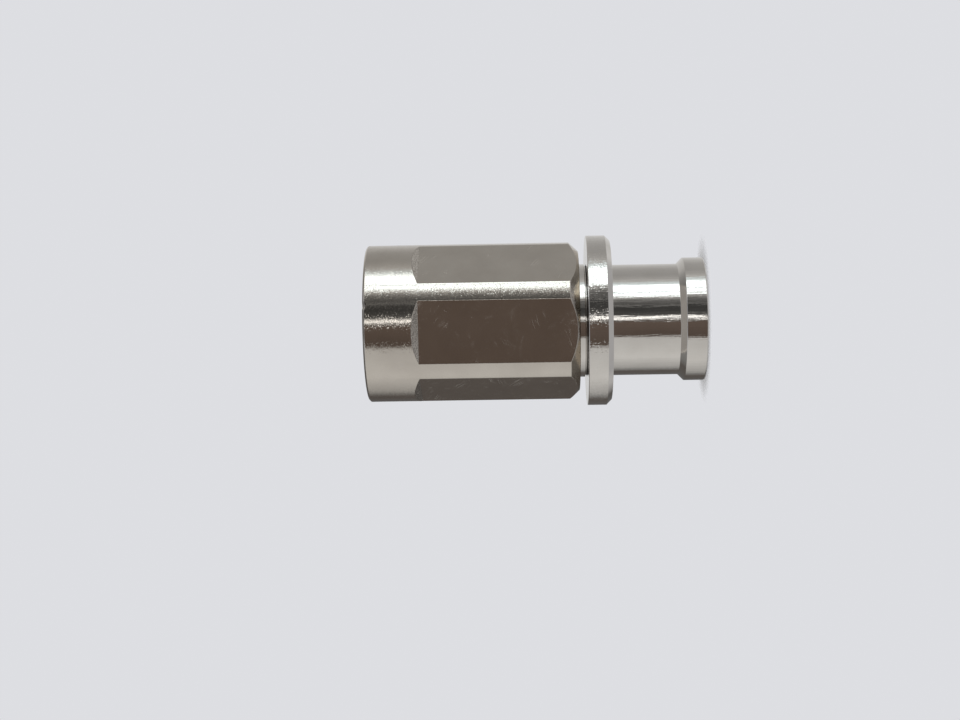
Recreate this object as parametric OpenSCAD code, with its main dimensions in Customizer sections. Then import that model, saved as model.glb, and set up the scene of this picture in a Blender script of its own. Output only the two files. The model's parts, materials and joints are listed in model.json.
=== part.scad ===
// Coaxial adapter: a threaded plug with a hexagon coupling nut on one end and a
// push-on jack with a locking lip on the other. It stands on the jack's end face,
// with its axis on +Z and the plug's mouth up. All sizes are in millimetres.

/* [Jack barrel] */
// Outside diameter of the smooth barrel
barrel_d = 14.6; // [14:0.1:15.2]
// Length of the barrel from its end face to the flange
barrel_l = 12.25; // [11:0.05:15]
// Diameter of the locking lip
lip_d = 16.2; // [15.4:0.1:17]
// Height of the lip's cylinder above the end face
lip_l = 2.7; // [2:0.1:4]
// Angle of the cone behind the lip that the locking fingers grip, from the axis
lip_cone_angle = 45; // [30:1:60]
// Edge break at both rims of the lip's end face
lip_break = 0.15; // [0.05:0.05:0.4]
// Diameter of the wide entry in the jack's mouth
entry_d = 12.4; // [11:0.1:13]
// Depth of the wide entry
entry_l = 3.9; // [2:0.1:5]
// Slope of the entry's floor, from a flat floor
entry_slope = 30; // [15:1:40]
// Bore that takes the mating plug's sleeve
contact_bore_d = 8.1; // [8:0.05:8.6]
// Depth of the reference plane, where the mating sleeve stops
reference_l = 9.05; // [7:0.05:9.8]
// Length of the shoulder between the reference plane and the jack insulator
shoulder_l = 1.15; // [0.6:0.05:2]
// Diameter of the spigot that is pressed into the main body
spigot_d = 12.8; // [11.5:0.1:13.4]
// Length of that spigot
spigot_l = 5.5; // [4:0.1:7]

/* [Main body] */
// Outside diameter of the flange
flange_d = 22.4; // [21:0.1:25]
// Thickness of the flange
flange_t = 3.15; // [2:0.05:5]
// Chamfer on the flange's jack side
flange_chamfer = 0.65; // [0.2:0.05:0.9]
// Edge break on the flange's nut side
flange_break = 0.15; // [0.05:0.05:0.5]
// Diameter of the neck that the coupling nut turns on
neck_d = 14.9; // [14.5:0.05:15.2]
// Length of the neck from the flange to the gasket seat
neck_l = 15.4; // [13.5:0.1:17]
// Chamfer at the neck's front edge
neck_chamfer = 0.4; // [0.1:0.05:0.6]
// Length of the turned relief at the neck's foot
foot_relief_l = 0.25; // [0.1:0.05:0.5]
// Depth of that relief
foot_relief_h = 0.25; // [0.1:0.05:0.5]

/* [Coupling nut] */
// Diameter of the round bar that the nut is turned from
nut_d = 20.7; // [20.4:0.1:22]
// Wrench size across the flats
nut_af = 19; // [18.6:0.1:20]
// Length of the nut
nut_l = 27.8; // [26:0.1:31]
// Length of the plain round band at the mouth
band_l = 6.2; // [4:0.1:9]
// Slope of the ramp that ends each flat, from the axis
ramp_angle = 45; // [30:1:60]
// Length of the turned chamfer at the rear
rear_chamfer_l = 1.25; // [0.6:0.05:2]
// Diameter of the rear face inside that chamfer
rear_face_d = 18.4; // [17:0.1:18.6]
// Edge break at the mouth's outer rim
front_break = 0.25; // [0.1:0.05:0.6]
// Minor diameter of the thread
thread_d = 14.7; // [14:0.05:15]
// Pitch of the thread, 24 turns to the inch
thread_pitch = 1.058; // [0.8:0.002:1.2]
// Diameter of the plain bore in the nut's mouth
mouth_d = 16.4; // [15.6:0.1:17]
// Length of the plain bore before the thread's countersink
mouth_l = 1.6; // [1:0.1:2.4]
// Diameter of the thread's run-out relief
relief_d = 16.3; // [15.6:0.1:16.8]
// Reach of the relief in front of the neck
relief_l = 3.3; // [2.5:0.1:4.5]
// Reach of the relief back over the neck
relief_lap = 0.6; // [0.3:0.1:1.5]
// Space between the nut and the flange
nut_gap = 1; // [0.5:0.1:2]
// Radial running clearance of the nut on the neck
nut_clearance = 0.08; // [0.02:0.01:0.1]

/* [Retaining ring] */
// Inside diameter of the split ring
ring_id = 13.5; // [13.1:0.1:13.7]
// Radial width of the ring
ring_w = 1.2; // [0.9:0.05:1.4]
// Thickness of the ring along the axis
ring_t = 0.9; // [0.6:0.05:1.4]
// Height of the ring above the flange
ring_rise = 9; // [5:0.1:11]
// Width of the split
ring_split = 3; // [1:0.1:5]
// Clearance of the ring in the neck's groove
ring_clearance = 0.15; // [0.1:0.01:0.25]

/* [Mating gasket] */
// Outside diameter of the gasket
gasket_d = 13.6; // [12:0.1:14]
// Thickness of the gasket
gasket_t = 1.6; // [1:0.1:2.2]
// Rounding of the gasket's edges
gasket_r = 0.35; // [0.1:0.05:0.45]

/* [Plug sleeve] */
// Outside diameter of the plug's outer contact
sleeve_d = 8; // [7.8:0.05:8.3]
// Reach of the sleeve in front of the gasket seat
sleeve_reach = 10.65; // [9:0.05:12]
// Diameter of the land at the sleeve's foot that centres the gasket
land_d = 8.4; // [8.35:0.05:8.9]
// Chamfer at the sleeve's tip
sleeve_chamfer = 0.2; // [0.05:0.05:0.25]
// Diameter of the shank that is pressed into the main body
shank_d = 9.2; // [9:0.1:10]
// Wall between the insulator's pocket and the gasket seat
pocket_step = 1; // [0.5:0.1:2]

/* [Coaxial line] */
// Inside diameter of the outer conductor
line_d = 7; // [6.6:0.05:7.1]
// Diameter of the centre conductor
conductor_d = 3.04; // [2.9:0.02:3.2]
// Diameter of the centre conductor between the insulators
middle_d = 3.5; // [3.4:0.05:4.5]
// Length of each insulator
bead_l = 4; // [2:0.1:5]
// Diameter of the pocket that holds the plug insulator
pocket_d = 8; // [7.6:0.05:8.4]
// Radial clearance of a pressed piece in its seat
seat_clearance = 0.02; // [0.01:0.01:0.05]

/* [Centre contacts] */
// Diameter of the plug's pin
pin_d = 1.65; // [1.5:0.01:1.7]
// Depth of the pin's shoulder behind the sleeve's tip
pin_shoulder = 5.3; // [4.5:0.05:6]
// Depth of the pin's tip behind the sleeve's tip
pin_recess = 1; // [0.3:0.1:1.5]
// Length of the pin's tapered nose
nose_l = 0.9; // [0.4:0.1:1.5]
// Diameter of the nose's flat end
nose_d = 0.7; // [0.3:0.1:1]
// Diameter of the stud that joins the two contacts
stud_d = 1.6; // [1:0.1:2]
// Length of that stud
stud_l = 3; // [1.5:0.1:4]
// Reach of the socket in front of the reference plane
socket_reach = 5.2; // [4.5:0.05:6]
// Bore of the socket
socket_bore_d = 1.66; // [1.6:0.01:1.8]
// Depth of the socket's bore
socket_bore_l = 5.5; // [4.5:0.1:6]
// Number of slots that divide the socket into spring fingers
slot_n = 4; // [2:1:4]
// Width of each slot
slot_w = 0.24; // [0.15:0.01:0.28]
// Length of each slot
slot_l = 4.4; // [2:0.1:5]
// Countersink at the socket's mouth
socket_chamfer = 0.15; // [0.05:0.05:0.25]

/* [Hidden] */
$fn = 96;

// Finishes
white_bronze = [0.80, 0.78, 0.75];
nickel = [0.70, 0.66, 0.60];
gold = [0.86, 0.68, 0.34];
fluoropolymer = [0.93, 0.93, 0.91];
silicone = [0.66, 0.24, 0.18];
spring_bronze = [0.72, 0.52, 0.32];

// Heights of the seats along the axis, from the jack's end face up
shoulder_top = reference_l + shoulder_l;
jack_bead_top = shoulder_top + bead_l;
spigot_top = barrel_l + spigot_l;
flange_top = barrel_l + flange_t;
gasket_seat = flange_top + neck_l;
plug_bead_top = gasket_seat - pocket_step;
plug_bead_bottom = plug_bead_top - bead_l;
contact_joint = (jack_bead_top + plug_bead_bottom) / 2;
sleeve_tip = gasket_seat + sleeve_reach;
pin_base = sleeve_tip - pin_shoulder;
pin_tip = sleeve_tip - pin_recess;
socket_tip = reference_l - socket_reach;
nut_rear = flange_top + nut_gap;
nut_mouth = nut_rear + nut_l;
relief_bottom = gasket_seat - relief_lap;
relief_top = gasket_seat + relief_l;
countersink_bottom = nut_mouth - mouth_l - (mouth_d - thread_d) / 2;
ring_bottom = flange_top + ring_rise;

// Section of a 60 degree thread: each groove's depth, and its corners as [depth, height] in a turn
thread_turns = floor((countersink_bottom - relief_top) / thread_pitch);
thread_depth = 5 / 8 * thread_pitch * cos(30);
thread_groove = [
    [0, thread_pitch * 2 / 16],
    [thread_depth, thread_pitch * 7 / 16],
    [thread_depth, thread_pitch * 9 / 16],
    [0, thread_pitch * 14 / 16]
];

// Fits
nut_bore_d = neck_d + 2 * nut_clearance;
ring_od = ring_id + 2 * ring_w;
neck_groove_d = ring_id - 2 * ring_clearance;
nut_groove_d = ring_od + 2 * seat_clearance;
overcut = 1;

// A turned piece: an outline of [radius, height] points spun about the axis
module turned(outline) {
    rotate_extrude() polygon(outline);
}

// A turned hole: a stepped bore to cut away
module bored(d, bottom, top) {
    translate([0, 0, bottom]) cylinder(d = d, h = top - bottom);
}

// Ring-shaped groove cut inwards from a wider diameter
module groove(inner_d, outer_d, bottom, width) {
    difference() {
        bored(outer_d, bottom, bottom + width);
        bored(inner_d, bottom - overcut, bottom + width + overcut);
    }
}

// Flanged body with the neck that carries the nut
module main_body() {
    color(white_bronze) difference() {
        turned([
            [0, barrel_l],
            [flange_d / 2 - flange_chamfer, barrel_l],
            [flange_d / 2, barrel_l + flange_chamfer],
            [flange_d / 2, flange_top - flange_break],
            [flange_d / 2 - flange_break, flange_top],
            [neck_d / 2 - foot_relief_h, flange_top],
            [neck_d / 2 - foot_relief_h, flange_top + foot_relief_l],
            [neck_d / 2, flange_top + foot_relief_l],
            [neck_d / 2, gasket_seat - neck_chamfer],
            [neck_d / 2 - neck_chamfer, gasket_seat],
            [0, gasket_seat]
        ]);
        bored(spigot_d + 2 * seat_clearance, barrel_l - overcut, spigot_top);
        bored(shank_d, barrel_l, gasket_seat + overcut);
        groove(
            neck_groove_d, neck_d + overcut,
            ring_bottom - ring_clearance, ring_t + 2 * ring_clearance
        );
    }
}

// Smooth barrel with the locking lip and its cone, and the stepped jack bore
module jack_barrel() {
    cone_l = (lip_d - barrel_d) / 2 / tan(lip_cone_angle);
    color(white_bronze) difference() {
        turned([
            [0, 0],
            [lip_d / 2 - lip_break, 0],
            [lip_d / 2, lip_break],
            [lip_d / 2, lip_l],
            [barrel_d / 2, lip_l + cone_l],
            [barrel_d / 2, barrel_l],
            [spigot_d / 2, barrel_l],
            [spigot_d / 2, spigot_top],
            [0, spigot_top]
        ]);
        turned([
            [0, -overcut],
            [entry_d / 2 + lip_break + overcut, -overcut],
            [entry_d / 2, lip_break],
            [entry_d / 2, entry_l],
            [contact_bore_d / 2, entry_l + (entry_d - contact_bore_d) / 2 * tan(entry_slope)],
            [contact_bore_d / 2, reference_l],
            [line_d / 2, reference_l],
            [line_d / 2, shoulder_top],
            [shank_d / 2, shoulder_top],
            [shank_d / 2, spigot_top + overcut],
            [0, spigot_top + overcut]
        ]);
    }
}

// Outer contact of the plug, with the shank that traps both insulators
module plug_sleeve() {
    tip_wall = (sleeve_d - line_d) / 2;
    tip_edge = min(sleeve_chamfer, tip_wall / 2);
    color(white_bronze) turned([
        [pocket_d / 2, jack_bead_top],
        [shank_d / 2 - seat_clearance, jack_bead_top],
        [shank_d / 2 - seat_clearance, gasket_seat],
        [land_d / 2, gasket_seat],
        [land_d / 2, gasket_seat + gasket_t],
        [sleeve_d / 2, gasket_seat + gasket_t],
        [sleeve_d / 2, sleeve_tip - tip_edge],
        [sleeve_d / 2 - tip_edge, sleeve_tip],
        [line_d / 2, sleeve_tip],
        [line_d / 2, plug_bead_top],
        [pocket_d / 2, plug_bead_top]
    ]);
}

// Insulator bead: a disc on the centre conductor
module bead(outer_d, bottom) {
    color(fluoropolymer) turned([
        [conductor_d / 2 + seat_clearance, bottom],
        [outer_d / 2 - seat_clearance, bottom],
        [outer_d / 2 - seat_clearance, bottom + bead_l],
        [conductor_d / 2 + seat_clearance, bottom + bead_l]
    ]);
}

module plug_insulator() {
    bead(pocket_d, plug_bead_bottom);
}

module jack_insulator() {
    bead(shank_d, shoulder_top);
}

// Plug contact: the pin, its shoulder, the thicker middle and the joining stud
module plug_pin() {
    color(gold) turned([
        [0, contact_joint - stud_l],
        [stud_d / 2, contact_joint - stud_l],
        [stud_d / 2, contact_joint],
        [middle_d / 2, contact_joint],
        [middle_d / 2, plug_bead_bottom],
        [conductor_d / 2, plug_bead_bottom],
        [conductor_d / 2, pin_base],
        [pin_d / 2, pin_base],
        [pin_d / 2, pin_tip - nose_l],
        [nose_d / 2, pin_tip],
        [0, pin_tip]
    ]);
}

// Jack contact: a bored socket slotted into spring fingers
module jack_socket() {
    color(gold) difference() {
        turned([
            [0, socket_tip],
            [conductor_d / 2 - socket_chamfer, socket_tip],
            [conductor_d / 2, socket_tip + socket_chamfer],
            [conductor_d / 2, jack_bead_top],
            [middle_d / 2, jack_bead_top],
            [middle_d / 2, contact_joint],
            [0, contact_joint]
        ]);
        turned([
            [0, socket_tip - overcut],
            [socket_bore_d / 2 + socket_chamfer + overcut, socket_tip - overcut],
            [socket_bore_d / 2, socket_tip + socket_chamfer],
            [socket_bore_d / 2, socket_tip + socket_bore_l],
            [0, socket_tip + socket_bore_l]
        ]);
        bored(stud_d + 2 * seat_clearance, contact_joint - stud_l, contact_joint + overcut);
        for (i = [0 : slot_n - 1]) {
            rotate(i * 360 / slot_n)
                translate([0, -slot_w / 2, socket_tip - overcut])
                    cube([conductor_d, slot_w, slot_l + overcut]);
        }
    }
}

// Soft ring round the sleeve that the mating jack presses on
module mating_gasket() {
    color(silicone) translate([0, 0, gasket_seat]) difference() {
        turned([
            [0, 0],
            [gasket_d / 2 - gasket_r, 0],
            [gasket_d / 2, gasket_r],
            [gasket_d / 2, gasket_t - gasket_r],
            [gasket_d / 2 - gasket_r, gasket_t],
            [0, gasket_t]
        ]);
        bored(land_d + 2 * seat_clearance, -overcut, gasket_t + overcut);
    }
}

// One milled flat: a straight cut from the rear that ends in a sloping ramp
module flat_cut() {
    depth = (nut_d - nut_af) / 2;
    flat_end = nut_mouth - band_l - depth / tan(ramp_angle);
    reach = depth + overcut;
    rotate([90, 0, 0])
        linear_extrude(height = nut_d, center = true)
            polygon([
                [nut_af / 2, nut_rear - overcut],
                [nut_af / 2 + reach, nut_rear - overcut],
                [nut_af / 2 + reach, flat_end + reach / tan(ramp_angle)],
                [nut_af / 2, flat_end]
            ]);
}

// Bore outline of the nut's thread, one groove after another from the relief up
function thread_outline() = [
    for (i = [0 : thread_turns - 1], corner = thread_groove)
        [thread_d / 2 + corner[0], relief_top + thread_pitch * i + corner[1]]
];

// Bore outline of the whole nut, from its rear to its mouth
function nut_bore_outline() = concat(
    [
        [0, nut_rear - overcut],
        [nut_bore_d / 2, nut_rear - overcut],
        [nut_bore_d / 2, relief_bottom],
        [relief_d / 2, relief_bottom],
        [relief_d / 2, relief_top],
        [thread_d / 2, relief_top]
    ],
    thread_outline(),
    [
        [thread_d / 2, countersink_bottom],
        [mouth_d / 2, nut_mouth - mouth_l],
        [mouth_d / 2, nut_mouth + overcut],
        [0, nut_mouth + overcut]
    ]
);

// Coupling nut: a turned tube with six milled flats behind a round band
module coupling_nut() {
    color(nickel) difference() {
        turned([
            [0, nut_rear],
            [rear_face_d / 2, nut_rear],
            [nut_d / 2, nut_rear + rear_chamfer_l],
            [nut_d / 2, nut_mouth - front_break],
            [nut_d / 2 - front_break, nut_mouth],
            [0, nut_mouth]
        ]);
        turned(nut_bore_outline());
        groove(
            nut_bore_d - overcut, nut_groove_d,
            ring_bottom - ring_clearance, ring_t + 2 * ring_clearance
        );
        for (i = [0 : 5]) {
            rotate(30 + 60 * i) flat_cut();
        }
    }
}

// Split spring ring that locks the nut on the neck
module retaining_ring() {
    color(spring_bronze) translate([0, 0, ring_bottom]) difference() {
        bored(ring_od, 0, ring_t);
        bored(ring_id, -overcut, ring_t + overcut);
        translate([0, -ring_split / 2, -overcut])
            cube([ring_od, ring_split, ring_t + 2 * overcut]);
    }
}

main_body();
jack_barrel();
plug_sleeve();
plug_insulator();
jack_insulator();
plug_pin();
jack_socket();
mating_gasket();
coupling_nut();
retaining_ring();
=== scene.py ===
# %% [markdown]
# # A coaxial connector
# This is an in-line adapter. One end is a plug: a hexagon coupling nut with a thread inside it,
# round a contact sleeve and a gold pin. The other end is a smooth jack with a locking lip.
# The solids come packed in one frame, in metres, standing on the jack with +Z along the axis.
# The lesson turns, mills and threads a fine mesh for each piece, plates it, and lights it as a
# small metal product is lit on a pale table.

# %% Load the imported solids
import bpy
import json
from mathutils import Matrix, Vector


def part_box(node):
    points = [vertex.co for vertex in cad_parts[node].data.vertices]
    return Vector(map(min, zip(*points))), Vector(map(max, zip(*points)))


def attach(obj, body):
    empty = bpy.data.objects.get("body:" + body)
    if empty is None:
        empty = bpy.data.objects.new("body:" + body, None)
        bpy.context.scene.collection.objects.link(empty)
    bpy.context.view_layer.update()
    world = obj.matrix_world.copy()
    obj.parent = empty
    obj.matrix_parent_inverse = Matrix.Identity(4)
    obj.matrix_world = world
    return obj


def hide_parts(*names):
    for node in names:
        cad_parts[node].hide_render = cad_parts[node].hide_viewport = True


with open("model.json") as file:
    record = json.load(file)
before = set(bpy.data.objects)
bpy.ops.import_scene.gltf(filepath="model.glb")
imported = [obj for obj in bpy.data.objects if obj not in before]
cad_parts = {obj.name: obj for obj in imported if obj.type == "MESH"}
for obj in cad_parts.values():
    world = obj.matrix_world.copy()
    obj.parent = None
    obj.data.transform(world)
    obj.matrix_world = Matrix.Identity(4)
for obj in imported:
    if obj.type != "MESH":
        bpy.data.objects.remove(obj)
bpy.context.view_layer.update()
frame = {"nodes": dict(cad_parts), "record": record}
print("CAD nodes:", ", ".join(sorted(frame["nodes"])))

# %% Bring in Blender's modules
import json
import math

import bmesh
import bpy
from mathutils import Matrix, Vector

MM = 0.001
print("one millimetre is", MM, "metres, the unit of the frame")

# %% [markdown]
# ## Where the camera stands
# The picture shows the connector lying across the frame, with the nut at the left and a flat
# turned a little below the lens. The solids stand upright, so the camera is rolled over by a
# quarter turn instead. Its distance, aim and lens come from a fit to the edges of the nut, the
# flange and the barrel, which is better than placing it by eye: the outlines then fall on top
# of each other. The two small angles say how far the axis leans in the picture.

# %% Place the camera
PICTURE_WIDTH_PX = 960
FOCAL_PX = 1791.7
SENSOR_MM = 36.0
CLIP_START_MM = 10.0
CAMERA_TURN = math.radians(278.5)
AXIS_SWING = -0.0261
AXIS_ROLL = 0.0160
AIM_HEIGHT_MM = 22.2
AIM_IN_CAMERA_MM = Vector((7.249, 5.131, -237.4))

toward_jack = Vector((0, 0, -1))
toward_camera = Vector((math.cos(CAMERA_TURN), math.sin(CAMERA_TURN), 0))
picture_up = toward_camera.cross(toward_jack)
lying_axes = Matrix((toward_jack, picture_up, toward_camera)).transposed()
lean = Matrix.Rotation(AXIS_ROLL, 3, "Z") @ Matrix.Rotation(AXIS_SWING, 3, "Y")
camera_axes = lying_axes @ lean.transposed()
aim = Vector((0, 0, AIM_HEIGHT_MM * MM))

camera = bpy.data.objects.new("camera", bpy.data.cameras.new("camera"))
camera.data.sensor_width = SENSOR_MM
camera.data.lens = FOCAL_PX * SENSOR_MM / PICTURE_WIDTH_PX
camera.data.clip_start = CLIP_START_MM * MM
camera.matrix_world = camera_axes.to_4x4()
camera.location = aim - camera_axes @ (AIM_IN_CAMERA_MM * MM)
bpy.context.scene.collection.objects.link(camera)
bpy.context.scene.camera = camera
print("camera at", [round(x / MM, 1) for x in camera.location], "mm, lens", round(camera.data.lens, 1))

# %% [markdown]
# ## Sizes from the frame
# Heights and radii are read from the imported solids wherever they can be, so that the dressed
# pieces follow the CAD. The few that a box can't give, such as a bore, are named beside the
# piece that needs them, in millimetres.

# %% Read heights and radii from the frame
def reach(node):
    """Lowest height, highest height and largest radius of a CAD node, in millimetres."""
    low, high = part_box(node)
    return low.z / MM, high.z / MM, high.x / MM


mount = {m["name"]: m["dims"] for m in frame["record"]["mounts"]}
flange_foot, neck_top, flange_r = reach("main_body")
barrel_foot, spigot_top, lip_r = reach("jack_barrel")
shank_foot, sleeve_tip, shank_r = reach("plug_sleeve")
nut_rear, nut_mouth, bar_r = reach("coupling_nut")
NECK_R = 7.45
FLANGE_T = 3.15
FOOT_RELIEF = 0.25
flange_top = flange_foot + FLANGE_T
print("overall length", round(nut_mouth - barrel_foot, 2), "mm, flange", round(2 * flange_r, 2), "mm")

# %% [markdown]
# ## Small helpers for node trees
# Both the shapes and the finishes are node trees. One helper adds a node, sets its properties
# and either fills its inputs with values or wires sockets into them, so that each tree below
# reads as a list of what it does.

# %% Add one node
def add(tree, kind, inputs=None, **settings):
    """A new node. Inputs are values, or the sockets that feed them."""
    node = tree.nodes.new(kind)
    for name, value in settings.items():
        setattr(node, name, value)
    for name, value in (inputs or {}).items():
        if isinstance(value, bpy.types.NodeSocket):
            tree.links.new(value, node.inputs[name])
        else:
            node.inputs[name].default_value = value
    return node


def math_node(tree, operation, *values):
    """The output of one sum on numbers or sockets."""
    return add(tree, "ShaderNodeMath", dict(enumerate(values)), operation=operation).outputs[0]


def vector_node(tree, operation, *values, output="Vector"):
    """The output of one sum on vectors."""
    node = add(tree, "ShaderNodeVectorMath", dict(enumerate(values)), operation=operation)
    return node.outputs[output]

# %% [markdown]
# ## Patterns for plated metal
# Metal has hardly any colour pattern of its own. What tells one plate from another is the tint
# of its reflections and how its skin breaks them up. So most of these patterns describe a skin:
# clouds for its roughness, long noise for tool marks, thin scratches, and tiny crystals that
# each lean a little. The crystals give a satin plate its salt-and-pepper look where a bright
# band ends, and a plain bump can't, because its slopes run into each other. All patterns read
# Object coordinates, in metres, and their sizes are written in millimetres.

# %% Clouds, tool marks and ranges
def noise(tree, place, size_mm, detail=2.0):
    """Cloudy noise with blobs of about this size, from 0 to 1."""
    return add(tree, "ShaderNodeTexNoise", {
        "Vector": place, "Scale": 1 / (size_mm * MM), "Detail": detail}).outputs["Fac"]


def long_noise(tree, place, lengths_mm, turn=0.0, detail=2.0):
    """Noise that is long in one direction and narrow in the others, after a turn about z."""
    turned_place = add(tree, "ShaderNodeMapping", {"Vector": place, "Rotation": (0, 0, turn)})
    scale = [1 / (length * MM) for length in lengths_mm]
    long_place = add(tree, "ShaderNodeMapping", {"Vector": turned_place.outputs[0], "Scale": scale})
    return add(tree, "ShaderNodeTexNoise", {
        "Vector": long_place.outputs[0], "Scale": 1.0, "Detail": detail}).outputs["Fac"]


def span(tree, value, low, high, start=0.0, end=1.0):
    """A value that runs from start to end, moved into the range from low to high."""
    return add(tree, "ShaderNodeMapRange", {
        "Value": value, "From Min": start, "From Max": end, "To Min": low, "To Max": high}).outputs[0]

# %% Where a point lies on a round piece
SLOPE_SHARE = 0.7
EDGE_FADE = 0.04


def height_of(tree, place):
    """How far a point is up the axis."""
    return add(tree, "ShaderNodeSeparateXYZ", {"Vector": place}).outputs["Z"]


def from_axis(tree, place):
    """How far a point is from the axis."""
    return vector_node(tree, "LENGTH", vector_node(tree, "MULTIPLY", place, (1, 1, 0)), output="Value")


def beyond(tree, place, radius_mm):
    """1 farther from the axis than this radius, 0 nearer to it."""
    return span(tree, from_axis(tree, place), 0.0, 1.0, (radius_mm - EDGE_FADE) * MM, radius_mm * MM)


def facing_up(tree):
    """1 on a face that looks up the axis, 0 on an upright wall, -1 on a face that looks down."""
    normal = add(tree, "ShaderNodeTexCoord").outputs["Normal"]
    return add(tree, "ShaderNodeSeparateXYZ", {"Vector": normal}).outputs["Z"]


def spot(tree, place, centre, radius_mm):
    """1 at a point of the piece, falling to 0 at this distance from it."""
    distance = vector_node(tree, "DISTANCE", place, centre, output="Value")
    return span(tree, distance, 1.0, 0.0, 0.0, radius_mm * MM)


def unrolled(tree, place, radius_mm):
    """A round surface laid flat: the way round it in x, the way along it or across its ends in y."""
    parts = add(tree, "ShaderNodeSeparateXYZ", {"Vector": place}).outputs
    turn = math_node(tree, "ARCTAN2", parts["Y"], parts["X"])
    return add(tree, "ShaderNodeCombineXYZ", {
        "X": math_node(tree, "MULTIPLY", turn, radius_mm * MM),
        "Y": math_node(tree, "MULTIPLY_ADD", from_axis(tree, place), SLOPE_SHARE, parts["Z"])}).outputs[0]

# %% Scratches and crystals
LINE_HALF = 0.08
PATCH_SHARE = 0.3
PATCH_FADE = 0.12


def scratches(tree, flat_place, turn, length_mm, width_mm, rarity):
    """Thin lines in patches, 1 in the middle of a scratch and 0 elsewhere. Rarity thins them out."""
    wave = long_noise(tree, flat_place, (length_mm, width_mm, 1.0), turn, detail=0.0)
    off_line = math_node(tree, "ABSOLUTE", math_node(tree, "SUBTRACT", wave, 0.5))
    line = span(tree, off_line, 1.0, 0.0, 0.0, LINE_HALF)
    patch_place = vector_node(tree, "ADD", flat_place, (0, 0, turn * length_mm * MM))
    patch_noise = noise(tree, patch_place, length_mm * PATCH_SHARE)
    patch = span(tree, patch_noise, 0.0, 1.0, rarity, rarity + PATCH_FADE)
    return math_node(tree, "MULTIPLY", line, patch)


def crystals(tree, place, size_mm, slope):
    """A vector that leans the surface, crystal by crystal: most lie flat, a few lean by this slope."""
    cells = add(tree, "ShaderNodeTexVoronoi", {"Vector": place, "Scale": 1 / (size_mm * MM)})
    chance = vector_node(tree, "MULTIPLY_ADD", cells.outputs["Color"], (2, 2, 2), (-1, -1, -1))
    square = vector_node(tree, "MULTIPLY", chance, chance)
    own_lean = vector_node(tree, "MULTIPLY", vector_node(tree, "MULTIPLY", square, square), chance)
    return vector_node(tree, "MULTIPLY", own_lean, (slope, slope, slope))

# %% Colours, layers and bump
CLOUD_RANGE = (0.3, 0.7)
MIX_FIRST = 6
MIX_SECOND = 7
MIX_RESULT = 2


def tint(tree, value, dark, light):
    """A 0 to 1 value as a colour between two."""
    ramp = add(tree, "ShaderNodeValToRGB", {"Fac": value})
    for stop, position, colour in zip(ramp.color_ramp.elements, CLOUD_RANGE, (dark, light)):
        stop.position = position
        stop.color = (*colour, 1)
    return ramp.outputs["Color"]


def mixed(tree, share, first, second):
    """A colour between two, each a socket or three numbers. The mix node's colours go by number."""
    mix = add(tree, "ShaderNodeMix", {"Factor": share}, data_type="RGBA")
    for number, colour in ((MIX_FIRST, first), (MIX_SECOND, second)):
        if isinstance(colour, bpy.types.NodeSocket):
            tree.links.new(colour, mix.inputs[number])
        else:
            mix.inputs[number].default_value = (*colour, 1)
    return mix.outputs[MIX_RESULT]


def total(tree, *layers):
    """The sum of (pattern, weight) layers."""
    height = 0.0
    for pattern, weight in layers:
        height = math_node(tree, "MULTIPLY_ADD", pattern, weight, height)
    return height


def raise_bump(tree, shader, *layers, lean=None):
    """Feed the shader's normal from (pattern, depth in millimetres) layers, on a skin that may lean."""
    bump = add(tree, "ShaderNodeBump", {
        "Height": total(tree, *layers), "Distance": MM, "Strength": 1.0})
    if lean:
        straight = add(tree, "ShaderNodeNewGeometry").outputs["Normal"]
        leaning = vector_node(tree, "NORMALIZE", vector_node(tree, "ADD", straight, lean))
        tree.links.new(leaning, bump.inputs["Normal"])
    tree.links.new(bump.outputs[0], shader.inputs["Normal"])


def new_finish(name, metallic):
    """A material, its tree, its shader and its Object coordinates."""
    finish = bpy.data.materials.new(name)
    finish.use_nodes = True
    tree = finish.node_tree
    shader = tree.nodes["Principled BSDF"]
    shader.inputs["Metallic"].default_value = metallic
    place = add(tree, "ShaderNodeTexCoord").outputs["Object"]
    return finish, tree, shader, place

# %% [markdown]
# ## Satin nickel
# The nut is plated with nickel in a barrel, together with hundreds of others. The plate is warm
# grey and satin, its round bar shows fine crystals, and its flats show hair scratches from the
# tumbling. The milled ramps are rougher, as the cutter left them, and their colour is darkened in
# speckles as painted shade, which dims what they reflect. One nick in the rim of the mouth is
# bare and dull. It could be four materials, but masks made from the place of a point keep it
# one, as it is one plate.

# %% Scratches on the flats
SCRATCH_TURNS = (1.2, 2.1, 2.8)


def flat_scratches(tree, place, on_bar):
    """Hair scratches in four directions on the nut's flats, and none on its round bar."""
    flat_place = unrolled(tree, place, bar_r)
    hair = scratches(tree, flat_place, turn=0.5, length_mm=9.0, width_mm=0.6, rarity=0.565)
    for turn in SCRATCH_TURNS:
        more = scratches(tree, flat_place, turn, length_mm=7.0, width_mm=0.5, rarity=0.59)
        hair = math_node(tree, "MAXIMUM", hair, more)
    return math_node(tree, "MAXIMUM", math_node(tree, "SUBTRACT", hair, on_bar), 0.0)

# %% Satin nickel for the nut
SKIN_MM = 0.03
FLAT_TOP = 37.15
RAMP_MARGIN = 0.05
RAMP_FACING = -0.4
SPECKLE_RANGE = (0.35, 0.65)
NICK_TURN = CAMERA_TURN + math.radians(11.5)
NICK_R = 0.45
NICKEL_TINTS = ((0.61, 0.56, 0.495), (0.67, 0.62, 0.55))
# Painted shade: the dark colour that the ramps take on in speckles.
MILLED_PAINTED_SHADE = (0.31, 0.28, 0.24)
NICKEL_ROUGH = (0.07, 0.11)
SCRATCH_ROUGH = 0.20
RAMP_ROUGH = 0.10
NICK_ROUGH = 0.50
NICKEL_WAVE = 0.002
SCRATCH_DEPTH = 0.0008
nick_place = Vector((bar_r * math.cos(NICK_TURN), bar_r * math.sin(NICK_TURN), nut_mouth)) * MM


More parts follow.
